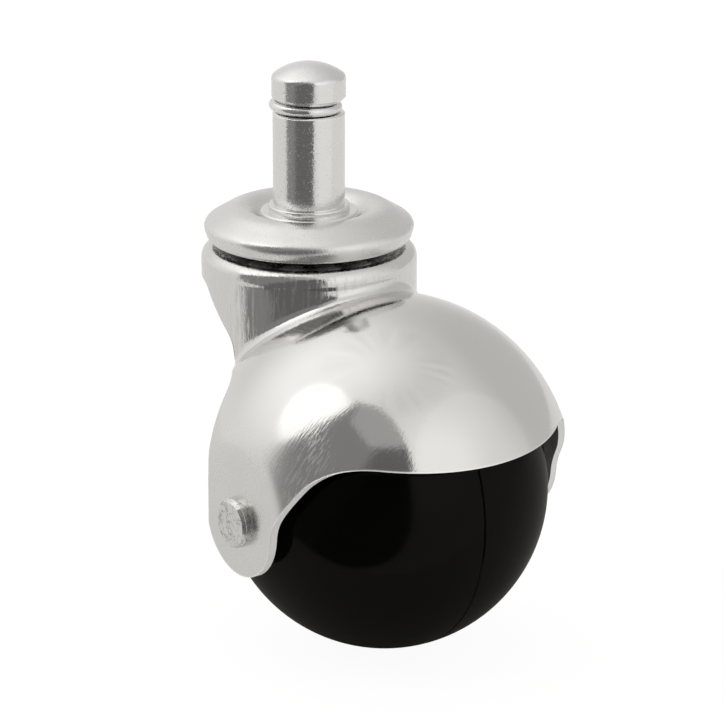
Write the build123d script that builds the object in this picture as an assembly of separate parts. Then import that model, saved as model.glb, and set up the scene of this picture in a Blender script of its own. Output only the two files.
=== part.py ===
from build123d import *
import os
from math import asin, atan2, cos, degrees, hypot, pi, radians, sin

# Ball castor with a grip-ring stem, in mm.
# The origin is on the swivel axis at the stem's shoulder, with +Z up the stem.
# The wheel trails towards -Y and its axle lies along X.

# Clearances
running_clearance = 0.05
seat_clearance = 0.02
overreach = 20.0

# Stem
stem_length = 22.2
shank_radius = 5.55
shank_edge = 0.25
head_overhang = 0.15
head_height = 5.85
head_chamfer = 0.6
crown_radius = 9.0
crown_corner = 1.0
step_width = 0.75
step_height = 0.95
step_round = 0.3
collar_setback = 3.35
collar_height = 0.9
collar_round = 0.35
spindle_setback = 2.8
rivet_setback = 1.1
rivet_head_overhang = 1.5
rivet_head_height = 1.4
rivet_head_round = 0.9

# Grip ring
ring_wire_radius = 0.75
ring_overhang = 0.07
ring_play = 0.15
ring_gather = 0.5
ring_gap_width = 1.6
ring_gap_angle = 54.0
ring_shift = 0.12
ring_shift_angle = 144.0

# Swivel cap
cap_thickness = 1.3
cap_width = 5.35
cap_rim_round = 1.75
cap_rim_drop = 1.95
cap_lip_turn = 150.0
cap_valley_round = 0.5
crest_rise = 1.6

# Swivel bearing
upper_ball_radius = 2.5
upper_ball_count = 13
upper_ball_gap = 0.265
lower_ball_radius = 1.5875
lower_ball_count = 14
lower_ball_gap = 0.118
race_ridge_rise = 1.0
lower_race_thickness = 1.1
lower_race_seat_rise = 0.73
lower_race_seat_round = 1.5
lower_race_seat_setback = 2.4
lower_race_rim_rise = 1.03
lower_race_rim_round = 1.2
lower_race_rim_setback = 2.5
lower_race_rim_turn = 60.0

# Housing
sheet_thickness = 1.1
neck_width = 5.7
neck_shoulder_round = 2.0
neck_shoulder_rise = 0.25
neck_straight = 0.1
neck_height = 4.75
neck_bore_clearance = 1.0
neck_blend = 1.8
hood_drop = 4.05
hood_gap = 2.7
hood_centre_rise = 1.1
ear_gap = 1.4
ear_blend = 9.0
ear_radius = 8.5
ear_back_cut = 0.4

# Side outline of the housing, with y counted from the swivel axis and z from the shoulder down to the waist,
# and both counted from the axle elsewhere
foot_end = 4.75
throat_end = -2.9
throat_drop = 18.3
waist_end = -3.6
waist_drop = 22.3
hip_end = 10.9
hip_rise = 18.05
ear_top_rise = 6.2
ear_front_cut = 0.5
ear_front_rise = 0.2
visor_corner_reach = 15.75
visor_corner_rise = 12.58
visor_tip_overreach = 2.2
visor_tip_rise = 10.7
foot_round = 4.0
throat_round = 5.0
waist_round = 1.8
hip_round = 2.5
ear_top_round = 8.0
visor_round = 8.5
ear_front_round = 8.0

# Wheel and axle
trail = 20.0
wheel_radius = 25.0
wheel_end_cut = 0.5
wheel_wall = 3.0
parting_chamfer = 0.2
hub_radius = 7.0
hub_boss_radius = 5.2
hub_end_clearance = 0.2
rib_count = 6
rib_thickness = 1.8
tongue_depth = 1.4
tongue_thickness = 0.8
tongue_height = 1.2
axle_radius = 3.0
axle_head_radius = 3.78
axle_head_height = 1.55
axle_head_chamfer = 0.45
sleeve_radius = 4.0

# Radii that follow from the shank, and from the two rings of balls outwards to the neck
head_radius = shank_radius + head_overhang
step_radius = shank_radius + step_width
ring_outer_radius = shank_radius + ring_overhang
upper_pitch_radius = (upper_ball_radius + upper_ball_gap / 2) / sin(pi / upper_ball_count)
lower_pitch_radius = (lower_ball_radius + lower_ball_gap / 2) / sin(pi / lower_ball_count)
spindle_radius = lower_pitch_radius - spindle_setback
rivet_radius = spindle_radius - rivet_setback
rivet_head_radius = rivet_radius + rivet_head_overhang
neck_bore_radius = spindle_radius + neck_bore_clearance
lower_race_seat_radius = lower_pitch_radius - lower_race_seat_setback
lower_race_rim_radius = lower_pitch_radius + lower_race_rim_setback
collar_radius = upper_pitch_radius - collar_setback
cap_radius = upper_pitch_radius + cap_width
neck_radius = upper_pitch_radius + neck_width

# Sizes that follow from the wheel, outwards to the hood
wheel_half_length = wheel_radius - wheel_end_cut
tongue_radius = wheel_radius - tongue_depth
hood_radius = wheel_radius + hood_gap + sheet_thickness
ear_half_width = wheel_half_length + ear_gap + sheet_thickness

# Levels and places that follow from the sizes above
collar_bottom = -step_height - collar_height
crest_radius = upper_ball_radius + running_clearance + cap_thickness
upper_ball_level = collar_bottom + crest_rise - crest_radius
valley_radius = upper_ball_radius + running_clearance
valley_bottom = upper_ball_level - valley_radius
groove_radius = lower_ball_radius + running_clearance
ridge_radius = groove_radius + sheet_thickness
lower_ball_level = valley_bottom + race_ridge_rise - ridge_radius
lower_seat_level = lower_ball_level - groove_radius + lower_race_seat_rise
lower_rim_level = lower_ball_level - groove_radius + lower_race_rim_rise
neck_top = valley_bottom + neck_shoulder_rise
shoulder_level = neck_top - neck_shoulder_round
neck_wall_top = shoulder_level - neck_straight
foot_level = neck_top - neck_height
hood_level = neck_top - hood_drop - hood_radius
axle_drop = hood_centre_rise - hood_level
ear_back = ear_radius - ear_back_cut - trail
ear_inner = ear_half_width - sheet_thickness
hub_end = ear_inner - hub_end_clearance
bore_radius = sleeve_radius + running_clearance
pin_hole_radius = axle_radius + seat_clearance
far = 2 * (hood_radius + trail)


def tangent_angle(first, second):
    """Direction of the straight line that leaves one bend and enters the next."""
    across = second[0] - first[0]
    up = second[1] - first[1]
    return degrees(atan2(up, across) - asin((first[2] - second[2]) / hypot(across, up)))


def bend_point(bend, angle):
    """Point of a bend where the line runs in this direction."""
    turn = radians(angle)
    return (bend[0] - bend[2] * sin(turn), bend[1] + bend[2] * cos(turn))


def bent_line(bends, first_angle, last_angle):
    """Smooth line through bends of (radius, height, bend radius), the last negative in a valley."""
    angles = [first_angle]
    angles += [tangent_angle(a, b) for a, b in zip(bends, bends[1:])]
    angles += [last_angle]
    edges = []
    for index, bend in enumerate(bends):
        begin = bend_point(bend, angles[index])
        middle = bend_point(bend, (angles[index] + angles[index + 1]) / 2)
        end = bend_point(bend, angles[index + 1])
        edges.append(ThreePointArc(begin, middle, end))
        if index + 1 < len(bends):
            edges.append(Line(end, bend_point(bends[index + 1], angles[index + 1])))
    return edges


def pressed_disc(edges, thickness):
    """Sheet turned round the swivel axis, hanging below the line of its upper face."""
    upper_line = Wire(edges)
    section = make_face(upper_line.offset_2d(thickness, side=Side.RIGHT, closed=True))
    return revolve(Plane.XZ * section, Axis.Z)


def outline(*points):
    """Flat face with these corners."""
    return make_face(Polyline(*points, close=True))


def rounded(face, corner, radius):
    """Face with the corner nearest to this point rounded."""
    nearest = min(face.vertices(), key=lambda v: hypot(v.X - corner[0], v.Y - corner[1]))
    return fillet(nearest, radius)


def along_x(radius, start, end):
    """Cylinder on the axle's line, from one x to another."""
    disc = Plane.YZ * Circle(radius)
    return Pos(start, -trail, -axle_drop) * extrude(disc, end - start)


def make_stem():
    groove_top = stem_length - head_height
    groove_bottom = groove_top - 2 * (ring_wire_radius + ring_play)
    groove_floor = ring_outer_radius - 2 * ring_wire_radius - ring_gather
    seat = lower_seat_level
    rivet_bottom = seat - lower_race_thickness
    head = outline(
        (0, groove_top),
        (head_radius - head_chamfer, groove_top),
        (head_radius, groove_top + head_chamfer),
        (head_radius, stem_length),
        (0, stem_length),
    )
    crown = Pos(0, stem_length - crown_radius) * Circle(crown_radius)
    head = rounded(head & crown, (head_radius, stem_length), crown_corner)
    body = outline(
        (0, groove_top),
        (groove_floor, groove_top),
        (groove_floor, groove_bottom),
        (shank_radius - shank_edge, groove_bottom),
        (shank_radius, groove_bottom - shank_edge),
        (shank_radius, 0),
        (step_radius, 0),
        (step_radius, -step_height),
        (collar_radius, -step_height),
        (collar_radius, collar_bottom),
        (spindle_radius, collar_bottom),
        (spindle_radius, seat),
        (rivet_radius, seat),
        (rivet_radius, rivet_bottom),
        (rivet_head_radius, rivet_bottom),
        (rivet_head_radius, rivet_bottom - rivet_head_height),
        (0, rivet_bottom - rivet_head_height),
    )
    body = rounded(body, (step_radius, 0), step_round)
    body = rounded(body, (collar_radius, -step_height), collar_round)
    body = rounded(body, (collar_radius, collar_bottom), collar_round)
    body = rounded(body, (rivet_head_radius, rivet_bottom - rivet_head_height), rivet_head_round)
    return revolve(Plane.XZ * (head + body), Axis.Z)


def make_grip_ring():
    level = stem_length - head_height - ring_wire_radius - ring_play
    ring = Torus(ring_outer_radius - ring_wire_radius, ring_wire_radius)
    gap = Box(ring_outer_radius + overreach, ring_gap_width, overreach, align=(Align.MIN, Align.CENTER, Align.CENTER))
    ring -= Rot(0, 0, ring_gap_angle) * gap
    shift = radians(ring_shift_angle)
    return Pos(ring_shift * cos(shift), ring_shift * sin(shift), level) * ring


def make_swivel_cap():
    rim_radius = cap_radius - cap_rim_round
    valley_place = upper_pitch_radius - valley_offset(crest_radius, cap_valley_round)
    bends = [
        (valley_place, collar_bottom + cap_valley_round, -cap_valley_round),
        (upper_pitch_radius, upper_ball_level, crest_radius),
        (rim_radius, collar_bottom - cap_rim_drop, cap_rim_round),
    ]
    seat_line = Line((spindle_radius + seat_clearance, collar_bottom), bend_point(bends[0], 0))
    return pressed_disc([seat_line] + bent_line(bends, 0, -cap_lip_turn), cap_thickness)


def valley_offset(over, under):
    """Distance across between a crest's centre and the centre of the valley that touches it at seat level."""
    reach = over + under + seat_clearance
    rise = collar_bottom + under - upper_ball_level
    return (reach**2 - rise**2) ** 0.5


def ball_ring(radius, pitch, level, count):
    """Loose balls spread evenly round the swivel axis."""
    turns = [2 * pi * index / count for index in range(count)]
    return [Pos(pitch * cos(turn), pitch * sin(turn), level) * Sphere(radius) for turn in turns]


def make_lower_race():
    bends = [
        (lower_race_seat_radius, lower_seat_level - lower_race_seat_round, lower_race_seat_round),
        (lower_pitch_radius, lower_ball_level, -groove_radius),
        (lower_race_rim_radius, lower_rim_level - lower_race_rim_round, lower_race_rim_round),
    ]
    seat_line = Line((rivet_radius + seat_clearance, lower_seat_level), bend_point(bends[0], 0))
    return pressed_disc([seat_line] + bent_line(bends, 0, -lower_race_rim_turn), lower_race_thickness)


def make_neck_top():
    """Top of the neck: bearing ridge and valley, then the rounded shoulder and the start of the wall."""
    first_turn = degrees(asin((lower_pitch_radius - neck_bore_radius) / ridge_radius))
    bends = [
        (lower_pitch_radius, lower_ball_level, ridge_radius),
        (upper_pitch_radius, upper_ball_level, -valley_radius),
        (neck_radius - neck_shoulder_round, shoulder_level, neck_shoulder_round),
    ]
    wall = Line((neck_radius, shoulder_level), (neck_radius, neck_wall_top))
    return pressed_disc(bent_line(bends, first_turn, -90) + [wall], sheet_thickness)


def blended_neck(hood, radius, blend):
    """Hood with a neck let into it, and the seam between them rounded."""
    neck = Pos(0, 0, neck_wall_top) * Cylinder(radius, far, align=(Align.CENTER, Align.CENTER, Align.MAX))
    floor = Pos(0, 0, hood_level) * Box(far, far, far, align=(Align.CENTER, Align.CENTER, Align.MAX))
    joined = hood + neck

    def on_seam(edge):
        spots = [edge @ share for share in (0.1, 0.37, 0.9)]
        round_neck = all(abs(hypot(spot.X, spot.Y) - radius) < seat_clearance for spot in spots)
        return round_neck and edge.geom_type not in (GeomType.LINE, GeomType.CIRCLE)

    return fillet(joined.edges().filter_by(on_seam), blend) - floor


def hood_form(inset):
    """Solid under the sheet's outer face, or under its inner face when inset by the thickness."""
    radius = hood_radius - inset
    plan = Circle(radius) & Rectangle(2 * (ear_half_width - inset), far)
    plan = fillet(plan.vertices(), ear_blend - inset)
    place = Pos(0, -trail, hood_level)
    half_plan = plan & Pos(0, -far / 2) * Rectangle(far, far)
    dome = place * revolve(half_plan, Axis.X, 360)
    skirt = place * extrude(plan, -far / 2)
    return blended_neck(dome, neck_radius - inset, neck_blend + inset) + skirt


def trim_outline():
    """Side view of what the trimming tool leaves: neck foot, waist, ears and visor."""
    axle = (-trail, -axle_drop)
    foot = (foot_end, foot_level)
    throat = (throat_end, -throat_drop)
    waist = (waist_end, -waist_drop)
    hip = (axle[0] + hip_end, axle[1] + hip_rise)
    ear_top = (ear_back, axle[1] + ear_top_rise)
    ear_front = (axle[0] - ear_radius + ear_front_cut, axle[1] + ear_front_rise)
    visor_corner = (axle[0] - visor_corner_reach, axle[1] + visor_corner_rise)
    visor_tip = (axle[0] - hood_radius - visor_tip_overreach, axle[1] + visor_tip_rise)
    face = outline(
        (far, overreach),
        (far, foot_level),
        foot,
        throat,
        waist,
        hip,
        ear_top,
        (ear_back, axle[1]),
        axle,
        ear_front,
        visor_corner,
        visor_tip,
        (visor_tip[0], overreach),
    )
    ear = Pos(*axle) * Circle(ear_radius)
    ear &= Pos(ear_back - far / 2, axle[1]) * Rectangle(far, far)
    face += ear
    corners = [
        (foot, foot_round),
        (throat, throat_round),
        (waist, waist_round),
        (hip, hip_round),
        (ear_top, ear_top_round),
        (visor_corner, visor_round),
        (ear_front, ear_front_round),
    ]
    for corner, radius in corners:
        face = rounded(face, corner, radius)
    return face


def make_housing():
    sheet = hood_form(0) - hood_form(sheet_thickness)
    sheet += make_neck_top()
    kept = extrude(Plane.YZ * trim_outline(), ear_half_width + overreach, both=True)
    return (sheet & kept) - along_x(pin_hole_radius, -far, far)


def make_axle():
    """Rivet: turned head on the left, peened dome on the right."""
    left = -ear_half_width - axle_head_height
    head = along_x(axle_head_radius, left, -ear_half_width)
    head = chamfer(head.edges().sort_by(Axis.X)[0], axle_head_chamfer)
    shank = along_x(axle_radius, -ear_half_width, ear_half_width)
    peened = along_x(axle_head_radius, ear_half_width, ear_half_width + axle_head_height)
    peened = fillet(peened.edges().sort_by(Axis.X)[-1], axle_head_height - axle_head_chamfer)
    return head + shank + peened


def make_axle_sleeve():
    return along_x(sleeve_radius, -ear_inner, ear_inner) - along_x(pin_hole_radius, -far, far)


def make_wheel_half():
    """Right half of the ball: shell, ribs and hub, open at the parting plane."""
    centre = Pos(0, -trail, -axle_drop)
    quarter = Circle(wheel_radius) & Rectangle(wheel_half_length, wheel_radius, align=(Align.MIN, Align.MIN))
    parting_edge = quarter.vertices().sort_by(Axis.Y)[-1]
    shell = centre * revolve(chamfer(parting_edge, parting_chamfer), Axis.X)
    hollow = centre * Sphere(wheel_radius - wheel_wall) - along_x(hub_radius, -far, far)
    for index in range(rib_count):
        rib = Box(far, rib_thickness, wheel_radius, align=(Align.CENTER, Align.CENTER, Align.MIN))
        hollow -= centre * Rot(360 * index / rib_count, 0, 0) * rib
    boss = along_x(hub_boss_radius, 0, hub_end)
    return shell + boss - hollow - along_x(bore_radius, -far, far)


def make_tongue(play, height):
    """Ring that stands on the left half's wall and enters the right half's."""
    outer = along_x(tongue_radius + tongue_thickness / 2 + play, 0, height)
    return outer - along_x(tongue_radius - tongue_thickness / 2 - play, 0, height)


right_half = make_wheel_half()
pieces = {
    "stem": make_stem(),
    "grip_ring": make_grip_ring(),
    "swivel_cap": make_swivel_cap(),
    "lower_race": make_lower_race(),
    "housing": make_housing(),
    "axle": make_axle(),
    "axle_sleeve": make_axle_sleeve(),
    "wheel_half_left": mirror(right_half, Plane.YZ) + make_tongue(0, tongue_height),
    "wheel_half_right": right_half - make_tongue(running_clearance, tongue_height + running_clearance),
}
for index, ball in enumerate(ball_ring(upper_ball_radius, upper_pitch_radius, upper_ball_level, upper_ball_count)):
    pieces[f"upper_ball_{index + 1:02d}"] = ball
for index, ball in enumerate(ball_ring(lower_ball_radius, lower_pitch_radius, lower_ball_level, lower_ball_count)):
    pieces[f"lower_ball_{index + 1:02d}"] = ball

os.makedirs("parts", exist_ok=True)
for name, solid in pieces.items():
    export_step(solid, f"parts/{name}.step")
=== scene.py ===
import math

import bmesh
import bpy
from mathutils import Euler, Matrix, Vector


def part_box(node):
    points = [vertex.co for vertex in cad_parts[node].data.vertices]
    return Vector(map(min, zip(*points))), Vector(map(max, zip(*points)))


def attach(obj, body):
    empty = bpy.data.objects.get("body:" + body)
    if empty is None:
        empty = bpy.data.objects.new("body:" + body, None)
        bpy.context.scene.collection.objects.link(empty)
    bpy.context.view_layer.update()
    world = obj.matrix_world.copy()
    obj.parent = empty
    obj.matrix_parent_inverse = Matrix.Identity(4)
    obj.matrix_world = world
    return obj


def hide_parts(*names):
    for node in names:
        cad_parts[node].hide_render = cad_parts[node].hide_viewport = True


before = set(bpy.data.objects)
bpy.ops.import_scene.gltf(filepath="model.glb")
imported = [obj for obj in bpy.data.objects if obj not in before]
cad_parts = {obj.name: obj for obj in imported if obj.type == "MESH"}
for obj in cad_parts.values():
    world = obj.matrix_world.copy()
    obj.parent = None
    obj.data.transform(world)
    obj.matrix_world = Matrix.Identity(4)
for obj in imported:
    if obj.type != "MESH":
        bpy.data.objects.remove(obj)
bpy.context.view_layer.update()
scene = bpy.context.scene
scene.view_settings.view_transform = "Standard"
print("frame loaded:", len(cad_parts), "nodes")

mm = 0.001
perRadian = 180 / math.pi  # degrees in one radian
bevelSamples = 4
noiseMiddle = 0.5
nodeGrid = {"perRow": 8, "across": 220, "down": 320}  # how nodes lie in the editor


# Node helpers: each input takes a fixed value or another node's output
def addNode(tree, kind, inputs=None, **settings):
    node = tree.nodes.new(kind)
    for key, value in settings.items():
        setattr(node, key, value)
    for name, value in (inputs or {}).items():
        if isinstance(value, bpy.types.NodeSocket):
            tree.links.new(value, node.inputs[name])
        else:
            node.inputs[name].default_value = value
    return node


def mathNode(tree, operation, first, second=0.0):
    return addNode(tree, "ShaderNodeMath", {0: first, 1: second}, operation=operation).outputs[0]


def vectorNode(tree, operation, first, second=(0, 0, 0), third=(0, 0, 0)):
    inputs = {0: first, 1: second, 2: third}
    node = addNode(tree, "ShaderNodeVectorMath", inputs, operation=operation)
    return node.outputs["Value" if operation in ("DOT_PRODUCT", "LENGTH") else "Vector"]


def softStep(tree, value, low, high):
    inputs = {"Value": value, "From Min": low, "From Max": high}
    return addNode(tree, "ShaderNodeMapRange", inputs, interpolation_type="SMOOTHSTEP").outputs["Result"]


def mixValues(tree, share, first, second, span=(0.0, 1.0)):
    inputs = {"Value": share, "From Min": span[0], "From Max": span[1], "To Min": first, "To Max": second}
    return addNode(tree, "ShaderNodeMapRange", inputs).outputs["Result"]


def mixColours(tree, share, first, second):
    inputs = {"Fac": share, "Color1": first, "Color2": second}
    return addNode(tree, "ShaderNodeMixRGB", inputs).outputs["Color"]


def mixShaders(tree, share, first, second):
    return addNode(tree, "ShaderNodeMixShader", {"Fac": share, 1: first, 2: second}).outputs[0]


def noiseNode(tree, vector, size, detail):
    inputs = {"Vector": vector, "Scale": 1 / (size * mm), "Detail": detail}
    return addNode(tree, "ShaderNodeTexNoise", inputs).outputs["Fac"]


def bumpNode(tree, height, depth, normal):
    inputs = {"Height": height, "Distance": depth, "Normal": normal}
    return addNode(tree, "ShaderNodeBump", inputs).outputs["Normal"]


def opaque(colour):
    return (*colour, 1)


def newMaterial(name):
    material = bpy.data.materials.new(name)
    material.use_nodes = True
    material.node_tree.nodes.clear()
    return material, material.node_tree


def layOut(tree):
    for index, node in enumerate(tree.nodes):
        row, column = divmod(index, nodeGrid["perRow"])
        node.location = (column * nodeGrid["across"], -row * nodeGrid["down"])


def finishTree(tree, outputKind, surface):
    addNode(tree, outputKind, {"Surface": surface})
    layOut(tree)


# Grain: noise that is long one way and thin across, as a polishing wheel leaves it
def grain(tree, vector, along, sizes, detail):
    length, width = sizes
    along = Vector(along).normalized()
    across = along.orthogonal().normalized()
    third = along.cross(across)
    join = addNode(tree, "ShaderNodeCombineXYZ", {
        "X": vectorNode(tree, "DOT_PRODUCT", vector, along / (length * mm)),
        "Y": vectorNode(tree, "DOT_PRODUCT", vector, across / (width * mm)),
        "Z": vectorNode(tree, "DOT_PRODUCT", vector, third / (width * mm)),
    })
    inputs = {"Vector": join.outputs[0], "Scale": 1.0, "Detail": detail}
    return addNode(tree, "ShaderNodeTexNoise", inputs).outputs["Fac"]


# Edges: within a short reach the surface leans over, and the colour there is painted paler, a painted
# highlight
def roundedEdge(tree, look):
    edge = addNode(tree, "ShaderNodeBevel", {"Radius": look["edgeRound"] * mm}, samples=bevelSamples)
    flat = addNode(tree, "ShaderNodeNewGeometry").outputs["Normal"]
    turn = vectorNode(tree, "SUBTRACT", edge.outputs["Normal"], flat)
    lean = vectorNode(tree, "MULTIPLY_ADD", turn, (look["edgeLean"],) * 3, flat)
    normal = vectorNode(tree, "NORMALIZE", lean)
    reach = vectorNode(tree, "LENGTH", turn)
    return normal, softStep(tree, reach, *look["edgeSpan"])


# Tool marks: thin curved marks, painted darker than the plate round them as shade in their grooves
def shadedToolMarks(tree, place, tone, markShade):
    wander = noiseNode(tree, place, markShade["size"], markShade["detail"])
    wander = mathNode(tree, "SUBTRACT", wander, noiseMiddle)
    wander = mathNode(tree, "ABSOLUTE", wander)
    mark = softStep(tree, wander, *markShade["span"])
    mark = mathNode(tree, "MULTIPLY", mark, markShade["share"])
    return mixColours(tree, mark, tone, opaque(markShade["colour"]))


# Marks of the drawing tool round the neck: a shallow step and upright streaks
def neckMarks(tree, place, sheet, rough, normal):
    radius, fade = sheet["neckRadius"], sheet["neckFade"]
    flat = vectorNode(tree, "MULTIPLY", place, (1, 1, 0))
    reach = vectorNode(tree, "LENGTH", flat)
    onNeck = softStep(tree, reach, (radius + fade) * mm, radius * mm)

    level, fade = sheet["stepLevel"], sheet["stepFade"]
    height = addNode(tree, "ShaderNodeSeparateXYZ", {"Vector": place}).outputs["Z"]
    step = softStep(tree, height, (level - fade) * mm, (level + fade) * mm)
    step = mathNode(tree, "MULTIPLY", step, onNeck)
    normal = bumpNode(tree, step, sheet["stepDepth"] * mm, normal)

    streaks = grain(tree, place, (0, 0, 1), sheet["streakSize"], sheet["streakDetail"])
    streaks = mathNode(tree, "MULTIPLY", streaks, onNeck)
    normal = bumpNode(tree, streaks, sheet["streakDepth"] * mm, normal)
    worn = softStep(tree, streaks, *sheet["streakSpan"])
    worn = mathNode(tree, "MULTIPLY", worn, sheet["streakRough"])
    return mathNode(tree, "ADD", rough, worn), normal


# Parts of the pressing: flat ears, corners lapped by hand, and dull faces inside and at the cut edge; the
# cut edge is also painted pale, a painted highlight
def sheetRegions(tree, source, sheet):
    low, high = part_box("axle_sleeve")
    centre = (low + high) / 2
    place = source.outputs["Object"]
    split = addNode(tree, "ShaderNodeSeparateXYZ", {"Vector": place})
    aside = mathNode(tree, "ABSOLUTE", split.outputs["X"])
    ear = softStep(tree, aside, *[start * mm for start in sheet["earSpan"]])
    corner = softStep(tree, aside, *[start * mm for start in sheet["cornerSpan"]])
    front = softStep(tree, split.outputs["Y"], *[centre.y - ahead * mm for ahead in sheet["frontSpan"]])
    corner = mathNode(tree, "MULTIPLY", corner, front)

    outward = vectorNode(tree, "SUBTRACT", place, centre)
    outward = vectorNode(tree, "NORMALIZE", outward)
    facing = vectorNode(tree, "DOT_PRODUCT", outward, source.outputs["Normal"])
    dull = softStep(tree, facing, *sheet["dullFacing"])
    below = softStep(tree, split.outputs["Z"], *[level * mm for level in sheet["dullLevels"]])
    dull = mathNode(tree, "MULTIPLY", dull, below)
    outside = softStep(tree, facing, *sheet["cutFacing"])
    cut = mathNode(tree, "MULTIPLY", dull, outside)
    return {"ear": ear, "corner": corner, "dull": dull, "cut": cut}


# Plated steel: nearly a mirror, with fine polishing lines, small pits and a light haze
def platedSteel(name, look):
    material, tree = newMaterial(name)
    source = addNode(tree, "ShaderNodeTexCoord")
    place = source.outputs["Object"]
    metal = look["metal"]

    haze = noiseNode(tree, place, look["hazeSize"], look["hazeDetail"])
    rough = mixValues(tree, haze, *look["rough"], look["hazeSpan"])
    dulled = [part * look["dulling"] for part in look["colour"]]
    tone = mixColours(tree, haze, opaque(look["colour"]), opaque(dulled))

    pits = noiseNode(tree, place, look["pitSize"], look["pitDetail"])
    specks = softStep(tree, pits, *look["speckSpan"])
    specks = mathNode(tree, "MULTIPLY", specks, look["speckRough"])
    rough = mathNode(tree, "ADD", rough, specks)

    normal, edge = roundedEdge(tree, look)
    # the edge band is painted paler: a painted highlight along every edge
    tone = mixColours(tree, edge, tone, opaque(look["edgeHighlightColour"]))
    lines = grain(tree, place, look["grainAlong"], look["grainSize"], look["grainDetail"])
    depth = look["grainDepth"] * mm
    if "sheet" in look:
        sheet = look["sheet"]
        masks = sheetRegions(tree, source, sheet)
        lap = mathNode(tree, "MULTIPLY", masks["corner"], sheet["cornerDepth"] * mm)
        depth = mathNode(tree, "ADD", lap, depth)
    normal = bumpNode(tree, lines, depth, normal)
    normal = bumpNode(tree, pits, look["pitDepth"] * mm, normal)

    if "markShade" in look:
        # thin marks painted darker: painted shade in the tool marks
        tone = shadedToolMarks(tree, place, tone, look["markShade"])
    if "sheet" in look:
        rough, normal = neckMarks(tree, place, sheet, rough, normal)
        lapped = softStep(tree, lines, *sheet["lapSpan"])
        lapped = mathNode(tree, "MULTIPLY", lapped, masks["corner"])
        wear = ((lapped, "cornerRough"), (masks["ear"], "earRough"), (masks["dull"], "dullRough"))
        for mask, amount in wear:
            extra = mathNode(tree, "MULTIPLY", mask, sheet[amount])
            rough = mathNode(tree, "ADD", rough, extra)
        metal = mathNode(tree, "MULTIPLY", masks["dull"], -sheet["dullShare"])
        metal = mathNode(tree, "ADD", metal, look["metal"])
        # the cut edge's colour is painted pale: a painted highlight
        tone = mixColours(tree, masks["cut"], tone, opaque(sheet["cutHighlightColour"]))

    shader = addNode(tree, "ShaderNodeBsdfPrincipled", {
        "Base Color": tone,
        "Metallic": metal,
        "Roughness": rough,
        "Normal": normal,
    })
    finishTree(tree, "ShaderNodeOutputMaterial", shader.outputs[0])
    return material


# The look of each plated finish: sizes and depths in mm
plainLook = {
    "colour": (0.745, 0.735, 0.72),
    "metal": 1.0,
    "dulling": 0.96,
    "hazeSize": 9.0,
    "hazeDetail": 3.0,
    "hazeSpan": (0.3, 0.7),
    "rough": (0.07, 0.12),
    "speckSpan": (0.56, 0.7),
    "speckRough": 0.1,
    "edgeRound": 0.3,
    "edgeLean": 0.45,
    "edgeSpan": (0.1, 0.4),
    # pale colour painted along the edges: a painted highlight
    "edgeHighlightColour": (0.9, 0.89, 0.875),
    "grainAlong": (0.767, -0.335, 0.547),
    "grainSize": (4.0, 0.45),
    "grainDetail": 2.0,
    "grainDepth": 0.008,
    "pitSize": 0.35,
    "pitDetail": 1.0,
    "pitDepth": 0.002,
}

# The housing's sheet: each span runs from where its region starts to where it is full
sheetLook = dict(
    plainLook,
    speckRough=0.05,
    edgeRound=0.4,
    edgeLean=-0.6,
    # pale colour painted along the sheet's edges: a painted highlight
    edgeHighlightColour=(0.98, 0.97, 0.96),
    grainAlong=(0.5, -0.21, 0.84),
    grainSize=(2.2, 0.27),
    grainDepth=0.009,
    sheet={
        "cornerSpan": (19.0, 22.0),
        "frontSpan": (9.0, 14.0),
        "cornerDepth": 0.035,
        "cornerRough": 0.3,
        "lapSpan": (0.48, 0.6),
        "neckRadius": 16.75,
        "neckFade": 0.4,
        "stepLevel": -9.0,
        "stepFade": 0.4,
        "stepDepth": 0.11,
        "streakSize": (5.0, 0.5),
        "streakDetail": 2.0,
        "streakDepth": 0.025,
        "streakSpan": (0.45, 0.65),
        "streakRough": 0.22,
        "earSpan": (22.5, 26.5),
        "earRough": 0.18,
        "dullFacing": (0.55, 0.4),
        "dullLevels": (-21.0, -23.0),
        "dullRough": 0.45,
        "dullShare": 0.7,
        # pale colour of the cut edge: a painted highlight
        "cutHighlightColour": (0.97, 0.96, 0.94),
        "cutFacing": (-0.5, -0.35),
    },
)
platedSheet = platedSteel("platedSheet", sheetLook)

# The stem is greyer and full of fine specks
stemLook = dict(
    plainLook,
    colour=(0.8, 0.797, 0.79),
    hazeSize=3.0,
    rough=(0.12, 0.19),
    speckRough=0.22,
    pitSize=0.3,
    pitDepth=0.012,
    edgeRound=0.2,
    grainAlong=(0, 0, 1),
    grainSize=(3.0, 0.4),
    grainDepth=0.004,
)
platedStem = platedSteel("platedStem", stemLook)

# The cap is a satin pressing
capLook = dict(
    plainLook,
    colour=(0.765, 0.762, 0.75),
    hazeSize=4.0,
    rough=(0.22, 0.32),
    speckRough=0.15,
    pitSize=0.3,
    pitDepth=0.012,
    edgeRound=0.15,
    grainDepth=0.004,
)
platedCap = platedSteel("platedCap", capLook)

# The rivet's head is uneven where the tool set it, and its thin tool marks are painted darker as shade in
# their grooves
rivetLook = dict(
    plainLook,
    hazeSize=1.2,
    rough=(0.16, 0.28),
    dulling=0.85,
    pitSize=0.9,
    pitDepth=0.06,
    edgeRound=0.2,
    # dark colour of the thin tool marks: painted shade
    markShade={"size": 1.3, "detail": 2.0, "span": (0.022, 0.006), "share": 0.7, "colour": (0.18, 0.175, 0.17)},
)
platedRivet = platedSteel("platedRivet", rivetLook)

# Bearing steel is dull with grease
raceLook = dict(
    plainLook,
    colour=(0.4, 0.39, 0.38),
    metal=0.4,
    rough=(0.4, 0.5),
)
raceSteel = platedSteel("raceSteel", raceLook)

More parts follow.
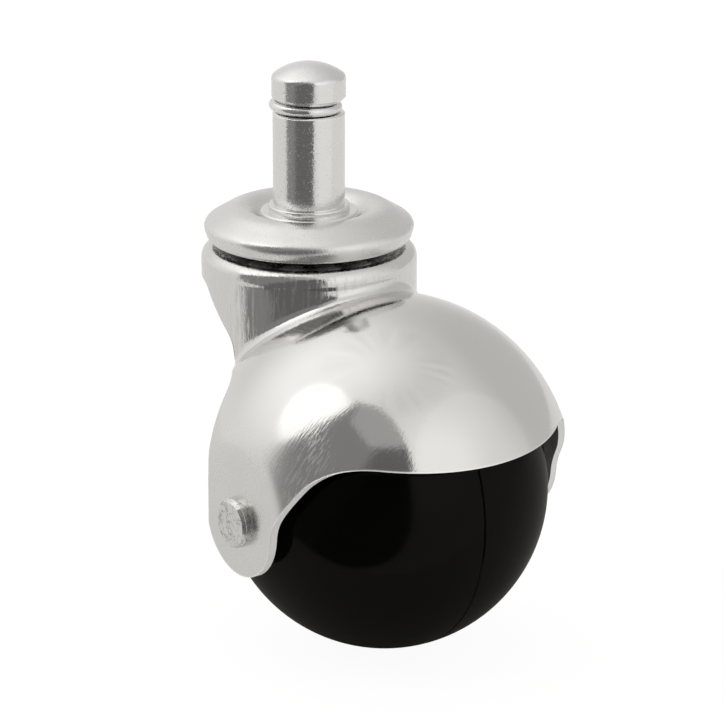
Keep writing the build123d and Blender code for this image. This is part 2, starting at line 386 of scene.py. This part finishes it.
# The bearing balls are a little brighter than their race
ballSteelLook = dict(
    plainLook,
    colour=(0.5, 0.49, 0.48),
    metal=0.25,
    rough=(0.45, 0.55),
    grainDepth=0.001,
)
ballSteel = platedSteel("ballSteel", ballSteelLook)

# Black moulded plastic with a soft gloss, weaker than bare plastic has
blackLook = {
    "colour": (0.0012, 0.0012, 0.001),
    "specular": 0.0,
    "gloss": 0.2,
    "glossColour": (1, 0.98, 0.92),
    "refraction": 1.45,
    "rough": (0.1, 0.17),
    "hazeSize": 14.0,
    "hazeDetail": 3.0,
    "waveSize": 6.0,
    "waveDetail": 2.0,
    "waveDepth": 0.01,
    "edgeRound": 0.12,
}


def blackPlastic():
    material, tree = newMaterial("blackPlastic")
    place = addNode(tree, "ShaderNodeTexCoord").outputs["Object"]
    haze = noiseNode(tree, place, blackLook["hazeSize"], blackLook["hazeDetail"])
    rough = mixValues(tree, haze, *blackLook["rough"])
    wave = noiseNode(tree, place, blackLook["waveSize"], blackLook["waveDetail"])
    edge = addNode(tree, "ShaderNodeBevel", {"Radius": blackLook["edgeRound"] * mm}, samples=bevelSamples)
    normal = bumpNode(tree, wave, blackLook["waveDepth"] * mm, edge.outputs["Normal"])
    body = addNode(tree, "ShaderNodeBsdfPrincipled", {
        "Base Color": opaque(blackLook["colour"]),
        "Specular IOR Level": blackLook["specular"],
        "Normal": normal,
    })
    gloss = addNode(tree, "ShaderNodeBsdfGlossy", {
        "Color": opaque(blackLook["glossColour"]),
        "Roughness": rough,
        "Normal": normal,
    })
    fresnel = addNode(tree, "ShaderNodeFresnel", {"IOR": blackLook["refraction"]})
    share = mathNode(tree, "MULTIPLY", fresnel.outputs[0], blackLook["gloss"])
    surface = mixShaders(tree, share, body.outputs[0], gloss.outputs[0])
    finishTree(tree, "ShaderNodeOutputMaterial", surface)
    return material


black = blackPlastic()
print("materials made")


# Pieces: merged, smooth-shaded copies of the solids. Distances in mm, angle in degrees
mergeSet = {"together": 0.0005, "sliver": 0.0001, "crease": 28.0}


def smoothPiece(node, name, body, material, crease=mergeSet["crease"]):
    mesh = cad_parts[node].data.copy()
    work = bmesh.new()
    work.from_mesh(mesh)
    bmesh.ops.remove_doubles(work, verts=work.verts, dist=mergeSet["together"] * mm)
    bmesh.ops.dissolve_degenerate(work, edges=work.edges, dist=mergeSet["sliver"] * mm)
    work.to_mesh(mesh)
    work.free()
    if "custom_normal" in mesh.attributes:
        mesh.attributes.remove(mesh.attributes["custom_normal"])
    mesh.shade_smooth()
    mesh.set_sharp_from_angle(angle=math.radians(crease))
    mesh.materials.clear()
    mesh.materials.append(material)
    piece = bpy.data.objects.new(name, mesh)
    scene.collection.objects.link(piece)
    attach(piece, body)
    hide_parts(node)
    return piece


smoothPiece("housing", "pressedHousing", "housing", platedSheet)
swivelCap = smoothPiece("swivel_cap", "swivelCap", "root", platedCap)
smoothPiece("stem", "stemPin", "root", platedStem)
gripRing = smoothPiece("grip_ring", "gripRing", "root", platedStem, crease=60)
smoothPiece("axle", "axleRivet", "housing", platedRivet, crease=20)
smoothPiece("lower_race", "lowerRace", "root", raceSteel)
smoothPiece("axle_sleeve", "axleSleeve", "housing", raceSteel)
smoothPiece("wheel_half_left", "ballLeft", "wheel", black)
smoothPiece("wheel_half_right", "ballRight", "wheel", black)


# The cap's rim turns down sharply and then leans inwards, in mm
rimSet = {
    # height and new radius, down the rim's outside
    "line": (
        (-2.3, 15.5),
        (-2.6, 15.86),
        (-2.95, 16.1),
        (-3.3, 16.2),
        (-3.65, 16.18),
        (-4.0, 16.1),
        (-4.4, 15.98),
        (-4.8, 15.84),
        (-5.1, 15.68),
        (-5.31, 15.48),
    ),
    # the round outside of the solid's rim, which is what moves
    "arcReach": 14.615,
    "arcLevel": -3.8,
    "arcSize": 1.735,
    "arcWithin": 0.05,
    "fromRadius": 15.45,
}


def turnRimDown():
    for vertex in swivelCap.data.vertices:
        reach = math.hypot(vertex.co.x, vertex.co.y) / mm
        level = vertex.co.z / mm
        fromArc = math.hypot(reach - rimSet["arcReach"], level - rimSet["arcLevel"]) - rimSet["arcSize"]
        if reach < rimSet["fromRadius"] or abs(fromArc) > rimSet["arcWithin"]:
            continue
        for (top, wide), (bottom, narrow) in zip(rimSet["line"], rimSet["line"][1:]):
            if bottom <= level <= top:
                target = wide + (narrow - wide) * (level - top) / (bottom - top)
                vertex.co.x *= target / reach
                vertex.co.y *= target / reach
                break


turnRimDown()


# The spring ring hangs a little askew in its groove: shift in mm, turn in degrees
ringSet = {"shift": (-0.29, 0.21, 0.0), "turn": 2.2, "about": (0.56, 0.83, 0.0)}


def hangRing():
    low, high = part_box("grip_ring")
    centre = (low + high) / 2
    away = Matrix.Translation(-centre)
    turnRing = Matrix.Rotation(math.radians(ringSet["turn"]), 4, Vector(ringSet["about"]))
    back = Matrix.Translation(centre + Vector(ringSet["shift"]) * mm)
    gripRing.data.transform(back @ turnRing @ away)


hangRing()
print("smooth pieces made")


# Bearing balls: one ring of spheres for each race
ballMesh = {"segments": 32, "rings": 20}


def ringTree(name, sizes):
    tree = bpy.data.node_groups.new(name + "Tree", "GeometryNodeTree")
    tree.interface.new_socket("Geometry", in_out="OUTPUT", socket_type="NodeSocketGeometry")
    sockets = {}
    for label, (kind, value) in sizes.items():
        socket = tree.interface.new_socket(label, in_out="INPUT", socket_type=kind)
        sockets[socket.identifier] = value
    given = addNode(tree, "NodeGroupInput")
    ring = addNode(tree, "GeometryNodeMeshCircle", {
        "Vertices": given.outputs["Ball count"],
        "Radius": given.outputs["Pitch radius"],
    })
    level = addNode(tree, "ShaderNodeCombineXYZ", {"Z": given.outputs["Level"]})
    lift = addNode(tree, "GeometryNodeTransform", {
        "Geometry": ring.outputs["Mesh"],
        "Translation": level.outputs[0],
    })
    sphere = addNode(tree, "GeometryNodeMeshUVSphere", {
        "Segments": ballMesh["segments"],
        "Rings": ballMesh["rings"],
        "Radius": given.outputs["Ball radius"],
    })
    smooth = addNode(tree, "GeometryNodeSetShadeSmooth", {"Geometry": sphere.outputs["Mesh"]})
    place = addNode(tree, "GeometryNodeInstanceOnPoints", {
        "Points": lift.outputs["Geometry"],
        "Instance": smooth.outputs["Geometry"],
    })
    real = addNode(tree, "GeometryNodeRealizeInstances", {"Geometry": place.outputs["Instances"]})
    paint = addNode(tree, "GeometryNodeSetMaterial", {
        "Geometry": real.outputs["Geometry"],
        "Material": ballSteel,
    })
    addNode(tree, "NodeGroupOutput", {"Geometry": paint.outputs["Geometry"]})
    layOut(tree)
    return tree, sockets


def bearingRing(name, prefix, body):
    names = sorted(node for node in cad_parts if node.startswith(prefix))
    low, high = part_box(names[0])
    centre = (low + high) / 2
    tree, sockets = ringTree(name, {
        "Ball count": ("NodeSocketInt", len(names)),
        "Pitch radius": ("NodeSocketFloat", math.hypot(centre.x, centre.y)),
        "Level": ("NodeSocketFloat", centre.z),
        "Ball radius": ("NodeSocketFloat", (high.z - low.z) / 2),
    })
    piece = bpy.data.objects.new(name, bpy.data.meshes.new(name))
    scene.collection.objects.link(piece)
    modifier = piece.modifiers.new("ring", "NODES")
    modifier.node_group = tree
    for identifier, value in sockets.items():
        modifier[identifier] = value
    bpy.context.view_layer.update()
    shaped = piece.evaluated_get(bpy.context.evaluated_depsgraph_get())
    mesh = bpy.data.meshes.new_from_object(shaped)
    piece.modifiers.clear()
    piece.data = mesh
    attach(piece, body)
    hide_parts(*names)


bearingRing("upperBearingBalls", "upper_ball_", "upper_balls")
bearingRing("lowerBearingBalls", "lower_ball_", "lower_balls")
print("bearing balls made")


# Camera at the photograph's angle: place, lens and sensor in mm, turn in degrees
cameraSet = {
    "place": (-276.687, -394.955, 132.701),
    "turn": (71.7983, -0.125, -35.9495),
    "lens": 161.07,
    "sensor": 36.0,
    "nearest": 10.0,
}
cameraTurn = Euler([math.radians(angle) for angle in cameraSet["turn"]]).to_matrix()
towardsCamera = Vector((cameraTurn.col[2].x, cameraTurn.col[2].y, 0)).normalized()


def makeCamera():
    camera = bpy.data.cameras.new("camera")
    camera.sensor_width = cameraSet["sensor"]
    camera.lens = cameraSet["lens"]
    camera.clip_start = cameraSet["nearest"] * mm
    cameraObject = bpy.data.objects.new("camera", camera)
    place = Matrix.Translation(Vector(cameraSet["place"]) * mm)
    cameraObject.matrix_world = place @ cameraTurn.to_4x4()
    scene.collection.objects.link(cameraObject)
    scene.camera = cameraObject


makeCamera()


# Floor: a pale table, in metres. Its front edge is near, so that the ball reflects the room's dark side
floorSet = {
    "front": 0.062,
    "back": 1.6,
    "side": 1.2,
    "colour": (0.95, 0.95, 0.94),
    "glow": 1.05,
    "glowShare": 0.9,
}


def makeFloor():
    across = Vector((-towardsCamera.y, towardsCamera.x, 0))
    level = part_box("wheel_half_left")[0].z
    corners = []
    for ahead, aside in ((1, -1), (1, 1), (-1, 1), (-1, -1)):
        reach = floorSet["front"] if ahead > 0 else floorSet["back"]
        spot = towardsCamera * ahead * reach + across * aside * floorSet["side"]
        corners.append((spot.x, spot.y, level))
    mesh = bpy.data.meshes.new("floor")
    mesh.from_pydata(corners, [], [(0, 1, 2, 3)])

    material, tree = newMaterial("paleTable")
    diffuse = addNode(tree, "ShaderNodeBsdfDiffuse", {"Color": opaque(floorSet["colour"])})
    glow = addNode(tree, "ShaderNodeEmission", {"Strength": floorSet["glow"]})
    ray = addNode(tree, "ShaderNodeLightPath")
    share = mathNode(tree, "MULTIPLY", ray.outputs["Is Camera Ray"], floorSet["glowShare"])
    surface = mixShaders(tree, share, diffuse.outputs[0], glow.outputs[0])
    finishTree(tree, "ShaderNodeOutputMaterial", surface)
    mesh.materials.append(material)
    floor = bpy.data.objects.new("floor", mesh)
    scene.collection.objects.link(floor)


makeFloor()


# Room: a white studio. Headings count to the right from the camera, heights up from level, in degrees
roomSet = {"wall": 0.81, "tint": (1.0, 0.99, 0.975), "softEdge": 1.5}

# Lamps and shades on its wall: full within one angle from the middle and gone at the other
glowSets = {
    "glowLeft": {"heading": -100, "height": 55, "full": 10, "gone": 56, "adds": 0.4},
    "lowLeft": {"heading": -115, "height": -20, "full": 10, "gone": 50, "adds": 0.1},
    "glowRight": {"heading": 36, "height": 26, "full": 8, "gone": 42, "adds": 0.2},
    "panelRight": {"heading": 62, "height": 14, "full": 41, "gone": 43, "adds": 0.06},
    "shadeRight": {"heading": 135, "height": 20, "full": 20, "gone": 55, "adds": -0.2},
    "softBoxLeft": {"heading": -63, "height": 42, "full": 21, "gone": 24, "adds": 0.35},
}


def addGlows(tree, direction, level):
    for glow in glowSets.values():
        heading, height = math.radians(glow["heading"]), math.radians(glow["height"])
        flat = math.cos(height)
        middle = (math.cos(heading) * flat, math.sin(heading) * flat, math.sin(height))
        angle = mathNode(tree, "ARCCOSINE", vectorNode(tree, "DOT_PRODUCT", direction, middle))
        angle = mathNode(tree, "MULTIPLY", angle, perRadian)
        inside = softStep(tree, angle, glow["gone"], glow["full"])
        part = mathNode(tree, "MULTIPLY", inside, glow["adds"])
        level = mathNode(tree, "ADD", level, part)
    return level


# Faint upright streaks, which come and go between these heights
streakSet = {"heights": (54, 62, 70, 80), "width": 7.0, "middle": 0.6, "strength": 0.4}


def addStreaks(tree, heading, height, level):
    low, lowFull, highFull, high = streakSet["heights"]
    overLow = softStep(tree, height, low, lowFull)
    underHigh = softStep(tree, height, high, highFull)
    between = mathNode(tree, "MULTIPLY", overLow, underHigh)
    inputs = {"W": heading, "Scale": 1 / streakSet["width"]}
    wave = addNode(tree, "ShaderNodeTexNoise", inputs, noise_dimensions="1D").outputs["Fac"]
    wave = mathNode(tree, "SUBTRACT", wave, streakSet["middle"])
    wave = mathNode(tree, "MULTIPLY", wave, streakSet["strength"])
    wave = mathNode(tree, "MULTIPLY", wave, between)
    return mathNode(tree, "ADD", level, wave)


# The dark side that the camera stands in, round at its corners, with a slanting edge on the left
darkSet = {
    "heading": -29,
    "halfWidth": 47.5,
    "height": 12,
    "halfHeight": 52,
    "cornerPower": 3.0,
    "edge": (1.07, 0.93),
    "slantFrom": (-76, 22),
    "slant": 1.05,
    # its left part is paler than its right part, and the line between them leans
    "levels": (0.25, 0.14),
    "turn": (-37, -29),
    "lean": 0.72,
}


def darkMask(tree, heading, height):
    powers = []
    for angle, middle, half in ((heading, "heading", "halfWidth"), (height, "height", "halfHeight")):
        share = mathNode(tree, "SUBTRACT", angle, darkSet[middle])
        share = mathNode(tree, "DIVIDE", share, darkSet[half])
        share = mathNode(tree, "ABSOLUTE", share)
        powers.append(mathNode(tree, "POWER", share, darkSet["cornerPower"]))
    reach = mathNode(tree, "ADD", *powers)
    mask = softStep(tree, reach, *darkSet["edge"])

    fromHeading, fromHeight = darkSet["slantFrom"]
    rise = mathNode(tree, "SUBTRACT", heading, fromHeading)
    rise = mathNode(tree, "MULTIPLY", rise, darkSet["slant"])
    over = mathNode(tree, "SUBTRACT", height, fromHeight)
    over = mathNode(tree, "SUBTRACT", over, rise)
    under = softStep(tree, over, roomSet["softEdge"], -roomSet["softEdge"])
    return mathNode(tree, "MULTIPLY", mask, under)


# A half-dark shape at the top of the dark side
greySet = {"level": 0.42, "height": 38, "rise": 12, "riseSpan": (-8, -32), "leftEdge": (-34, -31)}


def darkTone(tree, heading, height):
    lean = mathNode(tree, "MULTIPLY", height, darkSet["lean"])
    lean = mathNode(tree, "SUBTRACT", heading, lean)
    tone = mixValues(tree, softStep(tree, lean, *darkSet["turn"]), *darkSet["levels"])

    rise = softStep(tree, heading, *greySet["riseSpan"])
    rise = mathNode(tree, "MULTIPLY", rise, greySet["rise"])
    over = mathNode(tree, "SUBTRACT", height, greySet["height"])
    over = mathNode(tree, "SUBTRACT", over, rise)
    grey = softStep(tree, over, -roomSet["softEdge"], roomSet["softEdge"])
    right = softStep(tree, heading, *greySet["leftEdge"])
    grey = mathNode(tree, "MULTIPLY", grey, right)
    return mixValues(tree, grey, tone, greySet["level"])


def makeRoom():
    world = bpy.data.worlds.new("room")
    scene.world = world
    world.use_nodes = True
    tree = world.node_tree
    tree.nodes.clear()
    place = addNode(tree, "ShaderNodeTexCoord").outputs["Generated"]
    # turned so that +X points at the camera
    inputs = {"Vector": place, "Angle": -math.atan2(towardsCamera.y, towardsCamera.x)}
    direction = addNode(tree, "ShaderNodeVectorRotate", inputs, rotation_type="Z_AXIS").outputs[0]
    split = addNode(tree, "ShaderNodeSeparateXYZ", {"Vector": direction})
    heading = mathNode(tree, "ARCTAN2", split.outputs["Y"], split.outputs["X"])
    heading = mathNode(tree, "MULTIPLY", heading, perRadian)
    height = mathNode(tree, "ARCSINE", split.outputs["Z"])
    height = mathNode(tree, "MULTIPLY", height, perRadian)

    level = addGlows(tree, direction, roomSet["wall"])
    level = addStreaks(tree, heading, height, level)
    level = mixValues(tree, darkMask(tree, heading, height), level, darkTone(tree, heading, height))

    room = addNode(tree, "ShaderNodeBackground", {"Color": opaque(roomSet["tint"]), "Strength": level})
    white = addNode(tree, "ShaderNodeBackground", {"Color": opaque((1, 1, 1))})
    ray = addNode(tree, "ShaderNodeLightPath")
    surface = mixShaders(tree, ray.outputs["Is Camera Ray"], room.outputs[0], white.outputs[0])
    finishTree(tree, "ShaderNodeOutputWorld", surface)


makeRoom()
print("camera, floor and room placed")
